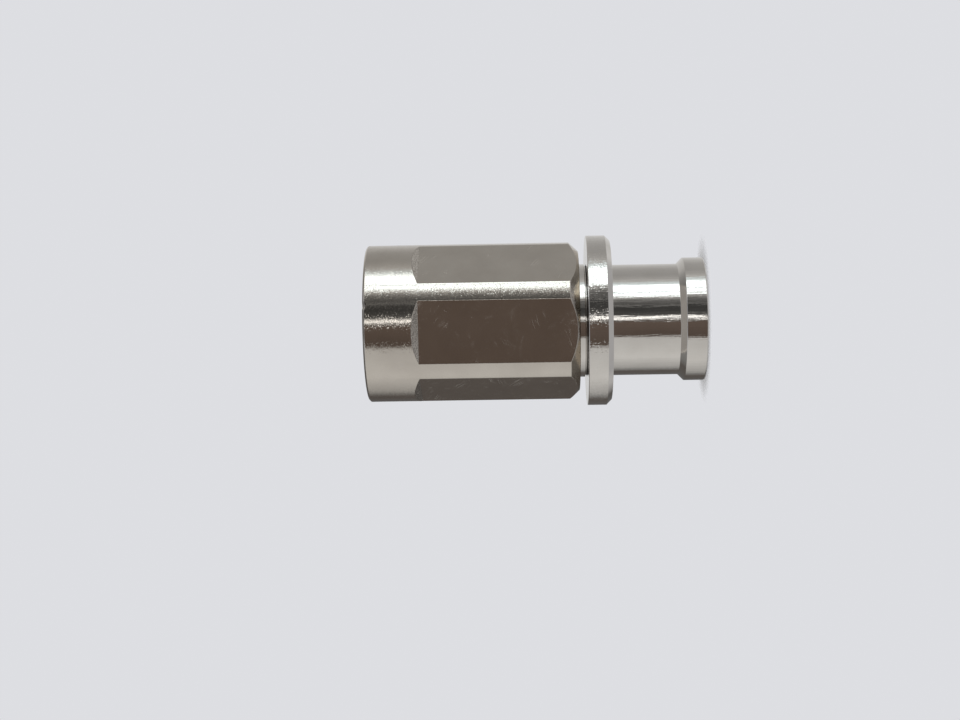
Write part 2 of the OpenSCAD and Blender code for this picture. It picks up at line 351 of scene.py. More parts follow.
def satin_nickel():
    """Warm satin plate: fine crystals, hair scratches, rougher ramps with painted shade in speckles and one
    nick in the rim.
    """
    finish, tree, metal, place = new_finish("satin_nickel", metallic=1.0)
    clouds = noise(tree, place, size_mm=4.0, detail=3.0)
    on_bar = beyond(tree, place, bar_r - SKIN_MM)
    hair = flat_scratches(tree, place, on_bar)
    sloped = math_node(tree, "LESS_THAN", facing_up(tree), RAMP_FACING)
    ramp_foot = (FLAT_TOP - RAMP_MARGIN) * MM
    above_flats = math_node(tree, "GREATER_THAN", height_of(tree, place), ramp_foot)
    on_ramp = math_node(tree, "MULTIPLY", sloped, above_flats)
    # Painted shade: on the ramps the plate colour is darkened in speckles, standing in for the dim
    # reflection they show.
    speckle = span(tree, noise(tree, place, size_mm=0.16), 0.0, 1.0, *SPECKLE_RANGE)
    ramp_painted_shade = math_node(tree, "MULTIPLY", on_ramp, speckle)
    colour = mixed(tree, ramp_painted_shade, tint(tree, clouds, *NICKEL_TINTS), MILLED_PAINTED_SHADE)
    tree.links.new(colour, metal.inputs["Base Color"])
    nick = spot(tree, place, nick_place, NICK_R)
    rough = total(tree, (span(tree, clouds, *NICKEL_ROUGH), 1.0), (hair, SCRATCH_ROUGH),
                  (on_ramp, RAMP_ROUGH), (nick, NICK_ROUGH))
    tree.links.new(rough, metal.inputs["Roughness"])
    grainy = math_node(tree, "MAXIMUM", on_bar, sloped)
    grain = vector_node(tree, "MULTIPLY", crystals(tree, place, size_mm=0.07, slope=0.09), grainy)
    wave = noise(tree, place, size_mm=0.9)
    raise_bump(tree, metal, (wave, NICKEL_WAVE), (hair, -SCRATCH_DEPTH), lean=grain)
    return finish


nickel = satin_nickel()
print(nickel.name, len(nickel.node_tree.nodes), "nodes")

# %% [markdown]
# ## White bronze
# The body and the barrel have a white bronze plate, which is lighter, less yellow and much
# smoother than nickel. Faint lines run along its upright walls and faint rings round its end
# faces. The flange's rim, which rubs on other parts, is grainier than the rest. The narrow relief
# at the neck's foot is rougher, and painted shade colours it near black. Image textures could
# carry such marks, but node patterns that know the way round the axis have no seam and stay
# sharp at any distance.

# %% White bronze for the body and barrel
BRONZE_TINTS = ((0.715, 0.68, 0.63), (0.765, 0.73, 0.68))
# Painted shade: the near-black colour of the narrow relief at the neck's foot.
RELIEF_PAINTED_SHADE = (0.10, 0.09, 0.08)
BRONZE_ROUGH = (0.045, 0.075)
DULL_ROUGH = 0.40
WALL_FACING = (0.3, 0.6)
BARREL_GRAIN = 0.25
CRYSTAL_SQUEEZE = (1, 1, 0.5)
STREAK_LENGTHS = (0.22, 0.22, 4.0)
STREAK_DEPTH = 0.011
RING_LENGTHS = (30.0, 0.12, 1.0)
RING_DEPTH = 0.002
BRONZE_WAVE = 0.003


def white_bronze():
    """Bright smooth plate over turned brass: faint rings, lines up the walls, grain on the flange's rim,
    painted shade in the neck's relief.
    """
    finish, tree, metal, place = new_finish("white_bronze", metallic=1.0)
    clouds = noise(tree, place, size_mm=3.0, detail=3.0)
    over_flange = math_node(tree, "COMPARE", height_of(tree, place), flange_top * MM, FOOT_RELIEF / 2 * MM)
    inside_neck = math_node(tree, "LESS_THAN", from_axis(tree, place), (NECK_R - SKIN_MM) * MM)
    in_relief = math_node(tree, "MULTIPLY", over_flange, inside_neck)
    # Painted shade: the relief at the neck's foot is coloured near black, for the shade in that narrow
    # recess.
    colour = mixed(tree, in_relief, tint(tree, clouds, *BRONZE_TINTS), RELIEF_PAINTED_SHADE)
    tree.links.new(colour, metal.inputs["Base Color"])
    rough = total(tree, (span(tree, clouds, *BRONZE_ROUGH), 1.0), (in_relief, DULL_ROUGH))
    tree.links.new(rough, metal.inputs["Roughness"])
    on_wall = span(tree, math_node(tree, "ABSOLUTE", facing_up(tree)), 1.0, 0.0, *WALL_FACING)
    streaks = math_node(tree, "MULTIPLY", long_noise(tree, place, STREAK_LENGTHS), on_wall)
    rings = long_noise(tree, unrolled(tree, place, NECK_R), RING_LENGTHS)
    long_place = vector_node(tree, "MULTIPLY", place, CRYSTAL_SQUEEZE)
    share = span(tree, beyond(tree, place, flange_r - SKIN_MM), BARREL_GRAIN, 1.0)
    grain = vector_node(tree, "MULTIPLY", crystals(tree, long_place, size_mm=0.075, slope=0.08), share)
    wave = noise(tree, place, size_mm=0.6)
    raise_bump(tree, metal, (streaks, STREAK_DEPTH), (rings, RING_DEPTH), (wave, BRONZE_WAVE), lean=grain)
    return finish


bronze = white_bronze()
print(bronze.name, len(bronze.node_tree.nodes), "nodes")

# %% [markdown]
# ## Gold, plastic, rubber and spring bronze
# These four lie inside and need less. The centre contacts are gold over turned brass, the beads
# a waxy white plastic that lets a little light in at its edges, the gasket a matt silicone and
# the ring bare spring bronze. Each could have patterns of its own, but one set of clouds for both
# colour and roughness is enough here: a paler spot is then a duller one too, as handling makes it.

# %% Gold for the centre contacts
GOLD_TINTS = ((0.86, 0.60, 0.24), (0.93, 0.68, 0.31))
GOLD_ROUGH = (0.15, 0.24)
GOLD_RING_LENGTHS = (20.0, 20.0, 0.08)
GOLD_RING_DEPTH = 0.003


def cloud_finish(tree, shader, clouds, tints, rough):
    """Colour and roughness that follow the same clouds."""
    tree.links.new(tint(tree, clouds, *tints), shader.inputs["Base Color"])
    tree.links.new(span(tree, clouds, *rough), shader.inputs["Roughness"])


def gold_plate():
    """Soft bright gold over turned brass, with faint rings from the tool."""
    finish, tree, metal, place = new_finish("gold_plate", metallic=1.0)
    clouds = noise(tree, place, size_mm=1.2, detail=3.0)
    cloud_finish(tree, metal, clouds, GOLD_TINTS, GOLD_ROUGH)
    rings = long_noise(tree, place, GOLD_RING_LENGTHS)
    raise_bump(tree, metal, (rings, GOLD_RING_DEPTH))
    return finish


gold = gold_plate()
print(gold.name, len(gold.node_tree.nodes), "nodes")

# %% Fluoropolymer, silicone and spring bronze
GLOW = 0.15
GLOW_DEPTH_MM = 0.5


def even_finish(name, metallic, tints, rough, clouds_mm, detail, grain_mm, depth_mm):
    """A finish that is the same all over: clouds in its colour and roughness, and a fine grain."""
    finish, tree, shader, place = new_finish(name, metallic)
    cloud_finish(tree, shader, noise(tree, place, clouds_mm, detail), tints, rough)
    raise_bump(tree, shader, (noise(tree, place, grain_mm), depth_mm))
    print(name, len(tree.nodes), "nodes")
    return finish


fluoropolymer = even_finish(
    "white_fluoropolymer", metallic=0.0, tints=((0.80, 0.80, 0.77), (0.86, 0.86, 0.84)),
    rough=(0.42, 0.55), clouds_mm=1.5, detail=3.0, grain_mm=0.1, depth_mm=0.004)
plastic = fluoropolymer.node_tree.nodes["Principled BSDF"]
plastic.inputs["Subsurface Weight"].default_value = GLOW
plastic.inputs["Subsurface Scale"].default_value = GLOW_DEPTH_MM * MM
silicone = even_finish(
    "gasket_silicone", metallic=0.0, tints=((0.34, 0.052, 0.030), (0.42, 0.080, 0.048)),
    rough=(0.5, 0.68), clouds_mm=0.8, detail=4.0, grain_mm=0.09, depth_mm=0.006)
spring = even_finish(
    "spring_bronze", metallic=1.0, tints=((0.46, 0.27, 0.13), (0.70, 0.45, 0.24)),
    rough=(0.26, 0.42), clouds_mm=1.0, detail=4.0, grain_mm=0.12, depth_mm=0.004)

# %% [markdown]
# ## Trees that make the shapes
# Nearly everything here came off a lathe, so the first tree carries an outline round a circle.
# The second repeats one sector round the axis: the nut's six flats and the socket's four spring
# fingers. The third sweeps a small ridge along a spiral for the thread. The shapes could be
# modelled by hand or with booleans, but a tree keeps each way of making as one recipe. Each one
# ends by realizing its instances, welding the seams and setting the finish, so that what leaves
# it is one closed mesh.

# %% Start and end a tree
WELD_MM = 0.0005


def new_shape_tree(name, sizes):
    """A Geometry Nodes tree with named inputs, and the sockets that give their values."""
    tree = bpy.data.node_groups.new(name, "GeometryNodeTree")
    tree.interface.new_socket("Geometry", in_out="INPUT", socket_type="NodeSocketGeometry")
    for label, kind in sizes.items():
        tree.interface.new_socket(label, in_out="INPUT", socket_type=kind)
    tree.interface.new_socket("Finish", in_out="INPUT", socket_type="NodeSocketMaterial")
    tree.interface.new_socket("Geometry", in_out="OUTPUT", socket_type="NodeSocketGeometry")
    return tree, add(tree, "NodeGroupInput").outputs


def end_shape_tree(tree, shape, finish):
    """Realize, weld, smooth and set the material."""
    real = add(tree, "GeometryNodeRealizeInstances", {"Geometry": shape})
    welded = add(tree, "GeometryNodeMergeByDistance", {
        "Geometry": real.outputs[0], "Distance": WELD_MM * MM})
    smooth = add(tree, "GeometryNodeSetShadeSmooth", {"Geometry": welded.outputs[0]})
    plated = add(tree, "GeometryNodeSetMaterial", {"Geometry": smooth.outputs[0], "Material": finish})
    add(tree, "NodeGroupOutput", {"Geometry": plated.outputs[0]})
    print("tree", tree.name, len(tree.nodes), "nodes")
    return tree

# %% The lathe
def lathe_tree():
    """Carries an outline, drawn as edges in x (radius) and y (minus height), round the axis."""
    sizes = {"Segments": "NodeSocketInt", "Mandrel": "NodeSocketFloat"}
    tree, given = new_shape_tree("turned_on_a_lathe", sizes)
    outline = add(tree, "GeometryNodeMeshToCurve", {"Mesh": given["Geometry"]})
    inwards = add(tree, "ShaderNodeCombineXYZ", {"X": math_node(tree, "MULTIPLY", given["Mandrel"], -1.0)})
    moved = add(tree, "GeometryNodeTransform", {
        "Geometry": outline.outputs[0], "Translation": inwards.outputs[0]})
    path = add(tree, "GeometryNodeCurvePrimitiveCircle", {
        "Resolution": given["Segments"], "Radius": given["Mandrel"]})
    skin = add(tree, "GeometryNodeCurveToMesh", {
        "Curve": path.outputs[0], "Profile Curve": moved.outputs[0]})
    return end_shape_tree(tree, skin.outputs[0], given["Finish"])


lathe = lathe_tree()

# %% The dividing head
def dividing_tree():
    """Repeats one sector round the axis, as a dividing head turns the work between cuts."""
    sizes = {"Count": "NodeSocketInt", "First Turn": "NodeSocketFloat"}
    tree, given = new_shape_tree("repeated_round_the_axis", sizes)
    stops = add(tree, "GeometryNodeMeshLine", {"Count": given["Count"], "Offset": (0, 0, 0)})
    step = math_node(tree, "DIVIDE", math.tau, given["Count"])
    index = add(tree, "GeometryNodeInputIndex").outputs[0]
    turn = math_node(tree, "MULTIPLY_ADD", index, step, given["First Turn"])
    angles = add(tree, "ShaderNodeCombineXYZ", {"Z": turn})
    rotation = add(tree, "FunctionNodeEulerToRotation", {"Euler": angles.outputs[0]})
    copies = add(tree, "GeometryNodeInstanceOnPoints", {
        "Points": stops.outputs[0], "Instance": given["Geometry"], "Rotation": rotation.outputs[0]})
    return end_shape_tree(tree, copies.outputs[0], given["Finish"])


dividing_head = dividing_tree()

# %% The threading tool
STEPS_PER_TURN = 96
THREAD_TAIL = 0.02


def thread_tree():
    """Sweeps a ridge section along a right-hand spiral and fades it at both ends, counted in turns."""
    tree, given = new_shape_tree("thread_ridge", {
        "Root Radius": "NodeSocketFloat", "Pitch": "NodeSocketFloat", "Start Height": "NodeSocketFloat",
        "Length": "NodeSocketFloat", "Fade In": "NodeSocketFloat", "Fade Out": "NodeSocketFloat"})
    section = add(tree, "GeometryNodeMeshToCurve", {"Mesh": given["Geometry"]})
    all_turns = math_node(tree, "DIVIDE", given["Length"], given["Pitch"])
    spiral = add(tree, "GeometryNodeCurveSpiral", {
        "Resolution": STEPS_PER_TURN, "Rotations": all_turns, "Height": given["Length"],
        "Start Radius": given["Root Radius"], "End Radius": given["Root Radius"]})
    lift = add(tree, "ShaderNodeCombineXYZ", {"Z": given["Start Height"]})
    path = add(tree, "GeometryNodeTransform", {
        "Geometry": spiral.outputs[0], "Translation": lift.outputs[0]})
    upright = add(tree, "GeometryNodeSetCurveNormal", {"Curve": path.outputs[0]}, mode="Z_UP")
    along = add(tree, "GeometryNodeSplineParameter").outputs["Length"]
    turn_length = math_node(tree, "MULTIPLY", given["Root Radius"], math.tau)
    turns = math_node(tree, "DIVIDE", along, turn_length)
    turns_left = math_node(tree, "SUBTRACT", all_turns, turns)
    grow = math_node(tree, "DIVIDE", turns, given["Fade In"])
    shrink = math_node(tree, "DIVIDE", turns_left, given["Fade Out"])
    height = add(tree, "ShaderNodeClamp", {
        "Value": math_node(tree, "MINIMUM", grow, shrink), "Min": THREAD_TAIL})
    ridge = add(tree, "GeometryNodeCurveToMesh", {
        "Curve": upright.outputs[0], "Profile Curve": section.outputs[0],
        "Scale": height.outputs[0], "Fill Caps": True})
    return end_shape_tree(tree, ridge.outputs[0], given["Finish"])


threading_tool = thread_tree()

# %% [markdown]
# ## From tree to plain mesh
# A tree's result is turned into a plain mesh, its faces are turned outwards, and a Weighted
# Normal modifier makes wide faces keep their own direction, so that only the narrow rounded
# edges bend the light. Without that, every long cylinder would shade towards its edges. That
# modifier weighs faces by area and gives up on sums below a millionth, so the mesh is held in
# millimetres while it runs.

# %% Run a tree and keep its mesh
def plain(piece):
    """Swap a piece's modifiers for the mesh that they make."""
    graph = bpy.context.evaluated_depsgraph_get()
    made = bpy.data.meshes.new_from_object(piece.evaluated_get(graph), depsgraph=graph)
    piece.modifiers.clear()
    piece.data = made


def face_outwards(mesh):
    """Point every face of a closed mesh away from its solid."""
    work = bmesh.new()
    work.from_mesh(mesh)
    bmesh.ops.recalc_face_normals(work, faces=work.faces)
    work.to_mesh(mesh)
    work.free()


def run_tree(name, start, tree, values):
    """An object made by a tree from a start mesh."""
    piece = bpy.data.objects.new(name, start)
    bpy.context.scene.collection.objects.link(piece)
    modifier = piece.modifiers.new(tree.name, "NODES")
    modifier.node_group = tree
    for socket in tree.interface.items_tree:
        if socket.in_out == "INPUT" and socket.name in values:
            modifier[socket.identifier] = values[socket.name]
    plain(piece)
    face_outwards(piece.data)
    return piece

# %% Round the edges and say what a piece stands for
BEVEL_STEPS = 2
BEVEL_FROM = math.radians(14)


def ease_edges(piece, edge_mm=0.0):
    """Round the edges that are still sharp, if asked to, and let wide faces keep their own direction."""
    piece.data.transform(Matrix.Scale(1 / MM, 4))
    if edge_mm:
        bevel = piece.modifiers.new("rounded edges", "BEVEL")
        bevel.width = edge_mm
        bevel.segments = BEVEL_STEPS
        bevel.limit_method = "ANGLE"
        bevel.angle_limit = BEVEL_FROM
    weighted = piece.modifiers.new("wide faces stay flat", "WEIGHTED_NORMAL")
    weighted.keep_sharp = False
    plain(piece)
    piece.data.transform(Matrix.Scale(MM, 4))
    print(piece.name, len(piece.data.polygons), "faces")
    return piece


def on_body(piece, body, slot, *nodes):
    """Parent a finished piece to the body it rides on and hide the solids that it stands for. The slot is
    not used.
    """
    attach(piece, body)
    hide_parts(*nodes)

# %% [markdown]
# ## Turned pieces
# A turner breaks every edge with the tool, so no corner of the real part is sharp, and those
# small roundings catch the light as thin bright lines. A Bevel modifier could round them all
# alike, but here some edges are rounder than others. So each outline below is a list of corners,
# (radius, height) in millimetres, with an optional rounding of its own. The helper replaces each
# corner with an arc before the outline goes on the lathe.

# %% Round an outline's corners
EDGE_MM = 0.06
ARC_STEPS = 4
ARC_SHARE = 0.45


def corner_arc(here, back, on, radius):
    """Points of an arc that replaces a corner, between the ways back and on from it."""
    turn = math.pi - back.angle(on)
    cut = min(radius * math.tan(turn / 2), ARC_SHARE * back.length, ARC_SHARE * on.length)
    start = here + back.normalized() * cut
    end = here + on.normalized() * cut
    to_centre = (back.normalized() + on.normalized()).normalized()
    centre = here + to_centre * (cut / math.sin(turn / 2))
    points = []
    for k in range(ARC_STEPS + 1):
        part = k / ARC_STEPS
        swing = math.sin((1 - part) * turn) * (start - centre) + math.sin(part * turn) * (end - centre)
        points.append(centre + swing / math.sin(turn))
    return points


def rounded(corners, closed):
    """Outline points with an arc at each corner. The ends of an open outline lie on the axis."""
    points = []
    for i, corner in enumerate(corners):
        here = Vector(corner[:2])
        if not closed and i in (0, len(corners) - 1):
            points.append(here)
            continue
        radius = corner[2] if len(corner) > 2 else EDGE_MM
        back = Vector(corners[i - 1][:2]) - here
        on = Vector(corners[(i + 1) % len(corners)][:2]) - here
        points += corner_arc(here, back, on, radius)
    return points

# %% Put an outline on the lathe
MANDREL_MM = 3.0
TURN_SEGMENTS = 192


def outline_mesh(points, closed):
    """Edges that the lathe tree reads, with heights turned over as its circle path expects."""
    mesh = bpy.data.meshes.new("outline")
    count = len(points)
    edges = [(i, (i + 1) % count) for i in range(count if closed else count - 1)]
    mesh.from_pydata([(r * MM, -z * MM, 0) for r, z in points], edges, [])
    return mesh


def turned(name, corners, finish, segments=TURN_SEGMENTS, closed=True):
    """A piece turned from an outline."""
    start = outline_mesh(rounded(corners, closed), closed)
    sizes = {"Segments": segments, "Mandrel": MANDREL_MM * MM, "Finish": finish}
    return ease_edges(run_tree(name, start, lathe, sizes))

# %% [markdown]
# ## Body: flange and neck
# The body is the piece that joins both ends. The nut turns on its neck, held by a spring ring
# in a groove, and its flange is the largest round of the connector. The flange has a chamfer
# towards the jack and only a broken edge towards the nut. At the neck's foot the tool leaves a
# narrow relief, coloured with painted shade so that it shows as a dark line beside the flange.
# It could be a stack of cylinders joined by booleans, but one outline gives clean faces and a
# rounding for each corner.

# %% Turn the body
SPIGOT_BORE_R = 6.42
SHANK_BORE_R = 4.60
FLANGE_CHAMFER = 0.65
CHAMFER_ROUND = 0.08
RIM_ROUND = 0.12
RING_GROOVE_R = 6.6
RING_GROOVE = (24.25, 25.45)
NECK_CHAMFER = 0.4

body = turned("body_flange_and_neck", [
    (SPIGOT_BORE_R, flange_foot),
    (flange_r - FLANGE_CHAMFER, flange_foot),
    (flange_r, flange_foot + FLANGE_CHAMFER, CHAMFER_ROUND),
    (flange_r, flange_top, RIM_ROUND),
    (NECK_R - FOOT_RELIEF, flange_top),
    (NECK_R - FOOT_RELIEF, flange_top + FOOT_RELIEF),
    (NECK_R, flange_top + FOOT_RELIEF),
    (NECK_R, RING_GROOVE[0]),
    (RING_GROOVE_R, RING_GROOVE[0]),
    (RING_GROOVE_R, RING_GROOVE[1]),
    (NECK_R, RING_GROOVE[1]),
    (NECK_R, neck_top - NECK_CHAMFER),
    (NECK_R - NECK_CHAMFER, neck_top),
    (SHANK_BORE_R, neck_top),
    (SHANK_BORE_R, spigot_top),
    (SPIGOT_BORE_R, spigot_top),
], bronze)
on_body(body, "body", "white_bronze", "main_body")

# %% [markdown]
# ## Jack barrel
# The barrel is smooth, so that the mating plug's spring fingers slide over it and lock behind
# the lip, on the cone. Inside are the entry for the plug's nose, a sloping floor and the bore
# that the outer contact touches. Inside and outside could be two surfaces, but one closed
# outline makes a wall with a true thickness at the lip.

# %% Turn the barrel
BARREL_R = 7.3
LIP_TOP = 2.7
LIP_END_ROUND = 0.2
LIP_ROUND = 0.15
CONE_ROUND = 0.12
SPIGOT_R = 6.4
ENTRY_R = mount["jack_entry"]["r_mm"]
ENTRY_DEPTH = 3.9
FLOOR_SLOPE = math.radians(30)
CONTACT_BORE_R = 4.05
CONTACT_BORE_END = 9.05
LINE_BORE_R = 3.5
BEAD_SEAT = 10.2
floor_top = ENTRY_DEPTH + (ENTRY_R - CONTACT_BORE_R) * math.tan(FLOOR_SLOPE)

barrel = turned("jack_barrel_with_lip", [
    (lip_r, barrel_foot, LIP_END_ROUND),
    (lip_r, LIP_TOP, LIP_ROUND),
    (BARREL_R, LIP_TOP + lip_r - BARREL_R, CONE_ROUND),
    (BARREL_R, flange_foot),
    (SPIGOT_R, flange_foot),
    (SPIGOT_R, spigot_top),
    (shank_r, spigot_top),
    (shank_r, BEAD_SEAT),
    (LINE_BORE_R, BEAD_SEAT),
    (LINE_BORE_R, CONTACT_BORE_END),
    (CONTACT_BORE_R, CONTACT_BORE_END),
    (CONTACT_BORE_R, floor_top),
    (ENTRY_R, ENTRY_DEPTH),
    (ENTRY_R, barrel_foot, LIP_END_ROUND),
], bronze)
on_body(barrel, "body", "white_bronze", "jack_barrel")

# %% [markdown]
# ## Plug sleeve, gasket and beads
# Inside the nut stands the plug's contact sleeve, a plain tube whose tip is chamfered so that it
# finds the mating bore. A soft ring at its foot seals the joint, and two white plastic beads hold
# the centre contact in the middle of the tube. The ring could be a torus, but a pressed gasket is
# nearer to a square with round corners, so it goes on the lathe like the rest.

# %% Turn the sleeve
SLEEVE_R = mount["outer_sleeve"]["r_mm"]
LAND_R = 4.2
LAND_TOP = 32.4
TIP_CHAMFER = 0.2
TIP_ROUND = (0.1, 0.05)
PLUG_BEAD = (25.8, 29.8)

sleeve = turned("plug_contact_sleeve", [
    (shank_r, shank_foot),
    (shank_r, neck_top),
    (LAND_R, neck_top),
    (LAND_R, LAND_TOP),
    (SLEEVE_R, LAND_TOP),
    (SLEEVE_R, sleeve_tip - TIP_CHAMFER, TIP_ROUND[0]),
    (SLEEVE_R - TIP_CHAMFER, sleeve_tip, TIP_ROUND[1]),
    (LINE_BORE_R, sleeve_tip),
    (LINE_BORE_R, PLUG_BEAD[1]),
    (SLEEVE_R, PLUG_BEAD[1]),
    (SLEEVE_R, shank_foot),
], bronze)
on_body(sleeve, "body", "white_bronze", "plug_sleeve")

# %% Turn the gasket
GASKET_R = 6.8
GASKET_INNER_ROUND = 0.3
GASKET_OUTER_ROUND = 0.35
SEAT_GAP = 0.02

gasket = turned("mating_gasket_ring", [
    (LAND_R + SEAT_GAP, neck_top, GASKET_INNER_ROUND),
    (GASKET_R, neck_top, GASKET_OUTER_ROUND),
    (GASKET_R, LAND_TOP, GASKET_OUTER_ROUND),
    (LAND_R + SEAT_GAP, LAND_TOP, GASKET_INNER_ROUND),
], silicone)
on_body(gasket, "body", "gasket", "mating_gasket")

# %% Turn both beads
JACK_BEAD = (BEAD_SEAT, 14.2)
CONTACT_R = 1.52
BEAD_ROUND = 0.15
BEAD_SEGMENTS = 128

for bead_name, bead, bead_r, node in (
        ("plug_insulator_bead", PLUG_BEAD, SLEEVE_R - SEAT_GAP, "plug_insulator"),
        ("jack_insulator_bead", JACK_BEAD, shank_r, "jack_insulator")):
    insulator = turned(bead_name, [
        (CONTACT_R + SEAT_GAP, bead[0]),
        (bead_r, bead[0], BEAD_ROUND),
        (bead_r, bead[1], BEAD_ROUND),
        (CONTACT_R + SEAT_GAP, bead[1]),
    ], fluoropolymer, segments=BEAD_SEGMENTS)
    on_body(insulator, "body", "insulator", node)

# %% [markdown]
# ## Centre contacts
# The centre contact runs right through. At the plug end it is a slim pin with a rounded nose. At
# the jack end it is a socket, slotted into four fingers that grip the mating pin. The slots could
# be cut out with booleans. The fingers are one shape repeated four times, though, so one is drawn
# with its slot edges in place and the dividing head makes the rest.

# %% Turn the pin
PIN_R = mount["centre_pin"]["r_mm"]
pin_foot, pin_nose, collar_r = reach("plug_pin")
TAIL_R = 0.8
COLLAR_FOOT = 20.0
PIN_SHOULDER = 36.15
SHOULDER_ROUND = 0.15
PIN_FOOT_ROUND = 0.1
NOSE_L = 0.9
NOSE_TIP_R = 0.35
NOSE_ROUND = (0.6, 0.3)
CONTACT_SEGMENTS = 96

pin = turned("plug_centre_pin", [
    (0, pin_foot),
    (TAIL_R, pin_foot),
    (TAIL_R, COLLAR_FOOT),
    (collar_r, COLLAR_FOOT),
    (collar_r, PLUG_BEAD[0]),
    (CONTACT_R, PLUG_BEAD[0]),
    (CONTACT_R, PIN_SHOULDER, SHOULDER_ROUND),
    (PIN_R, PIN_SHOULDER, PIN_FOOT_ROUND),
    (PIN_R, pin_nose - NOSE_L, NOSE_ROUND[0]),
    (NOSE_TIP_R, pin_nose, NOSE_ROUND[1]),
    (0, pin_nose),
], gold, segments=CONTACT_SEGMENTS, closed=False)
on_body(pin, "body", "gold_contact", "plug_pin")

# %% Draw one spring finger
SOCKET_BORE_R = mount["centre_socket"]["r_mm"]
socket_tip, socket_top, socket_collar_r = reach("jack_socket")
FINGERS = 4
FINGER_STEPS = 12
SLOT_W = 0.24
SLOT_L = 4.4
LEAD_IN = 0.2
TIP_BREAK = 0.1
slot_end = socket_tip + SLOT_L

finger_ring = [
    (SOCKET_BORE_R + LEAD_IN, socket_tip),
    (CONTACT_R - TIP_BREAK, socket_tip),
    (CONTACT_R, socket_tip + TIP_BREAK),
    (CONTACT_R, slot_end),
    (SOCKET_BORE_R, slot_end),
    (SOCKET_BORE_R, socket_tip + LEAD_IN),
]


def column_mesh(name, columns, capped):
    """Columns of (radius, angle, height) points, each a closed ring, joined side by side into faces."""
    points = []
    for column in columns:
        points += [(r * math.cos(a) * MM, r * math.sin(a) * MM, z * MM) for r, a, z in column]
    size = len(columns[0])
    faces = []
    for here in range(0, size * (len(columns) - 1), size):
        beside = here + size
        for k in range(size):
            onward = (k + 1) % size
            faces.append([here + k, here + onward, beside + onward, beside + k])
    if capped:
        faces.append(list(range(size)))
        faces.append(list(range(len(points) - size, len(points))))
    mesh = bpy.data.meshes.new(name)
    mesh.from_pydata(points, [], faces)
    return mesh


def finger_column(share):
    """The finger's ring at a place between the edges of two slots, from -1 to 1."""
    half_turn = math.pi / FINGERS
    return [(r, share * (half_turn - math.asin(SLOT_W / 2 / r)), z) for r, z in finger_ring]


shares = [2 * step / FINGER_STEPS - 1 for step in range(FINGER_STEPS + 1)]
finger = column_mesh("finger", [finger_column(share) for share in shares], capped=True)
print("one finger", len(finger.polygons), "faces")

# %% Make four fingers and their root
FINGER_EDGE = 0.03
TAIL_BORE_R = 0.82
WAIST_CUT = 0.1
WAIST_RUN = 0.5
GRIP_RUN = 1.1

fingers = run_tree("socket_spring_fingers", finger, dividing_head, {
    "Count": FINGERS, "First Turn": math.pi / FINGERS, "Finish": gold})
ease_edges(fingers, FINGER_EDGE)
root = turned("socket_root", [
    (SOCKET_BORE_R, slot_end),
    (CONTACT_R, slot_end),
    (CONTACT_R, JACK_BEAD[1]),
    (socket_collar_r, JACK_BEAD[1]),
    (socket_collar_r, socket_top),
    (TAIL_BORE_R, socket_top),
    (TAIL_BORE_R, pin_foot),
    (SOCKET_BORE_R - WAIST_CUT, pin_foot - WAIST_RUN),
    (SOCKET_BORE_R, slot_end + GRIP_RUN),
], gold, segments=CONTACT_SEGMENTS)
on_body(fingers, "body", "gold_contact", "jack_socket")
on_body(root, "body", "gold_contact", "jack_socket")

# %% [markdown]
# ## Coupling nut
# The nut is the piece with the most work in it. It starts as round bar. Six flats are milled for
# the wrench, and the cutter leaves a 45 degree ramp where each one ends under the round band at
# the mouth. The rear chamfer cuts the flats in shallow curves. Booleans would leave thin slivers
# along those curves. So one sixth is drawn here, column by column, with columns placed exactly on
# the edges of the flat. The dividing head makes six. Then one small nick is pressed into the rim
# of the mouth by moving the points near it, and a Bevel modifier rounds every edge a little, as
# tumbling does on the real one.

# %% Bore the nut
NUT_BORE_R = 7.53
NUT_GROOVE_R = 7.97
RELIEF_R = 8.15
RELIEF = (30.2, 34.1)
INCH_MM = 25.4
TURNS_PER_INCH = 24
THREAD_DEPTH_SHARE = 5 / 8
THREAD_FLANK = math.radians(30)
THREAD_CREST_R = mount["coupling_thread"]["r_mm"]
MOUTH_R = mount["coupling_mouth"]["r_mm"]
thread_pitch = INCH_MM / TURNS_PER_INCH
thread_root_r = THREAD_CREST_R + THREAD_DEPTH_SHARE * thread_pitch * math.cos(THREAD_FLANK)
mouth_bore_foot = nut_mouth - mount["coupling_mouth"]["length_mm"]

nut_inside = [
    (NUT_BORE_R, nut_rear),
    (NUT_BORE_R, RING_GROOVE[0]),
    (NUT_GROOVE_R, RING_GROOVE[0]),
    (NUT_GROOVE_R, RING_GROOVE[1]),
    (NUT_BORE_R, RING_GROOVE[1]),
    (NUT_BORE_R, RELIEF[0]),
    (RELIEF_R, RELIEF[0]),
    (RELIEF_R, RELIEF[1]),
    (thread_root_r, RELIEF[1]),
    (thread_root_r, mouth_bore_foot - (MOUTH_R - thread_root_r)),
    (MOUTH_R, mouth_bore_foot),
    (MOUTH_R, nut_mouth),
]
print("thread root radius", round(thread_root_r, 3), "mm, pitch", round(thread_pitch, 3), "mm")

# %% Draw one column of the nut
FLAT_HALF = 9.5
REAR_FACE_R = 9.2
REAR_CHAMFER_L = 1.25
MOUTH_BREAK = 0.25


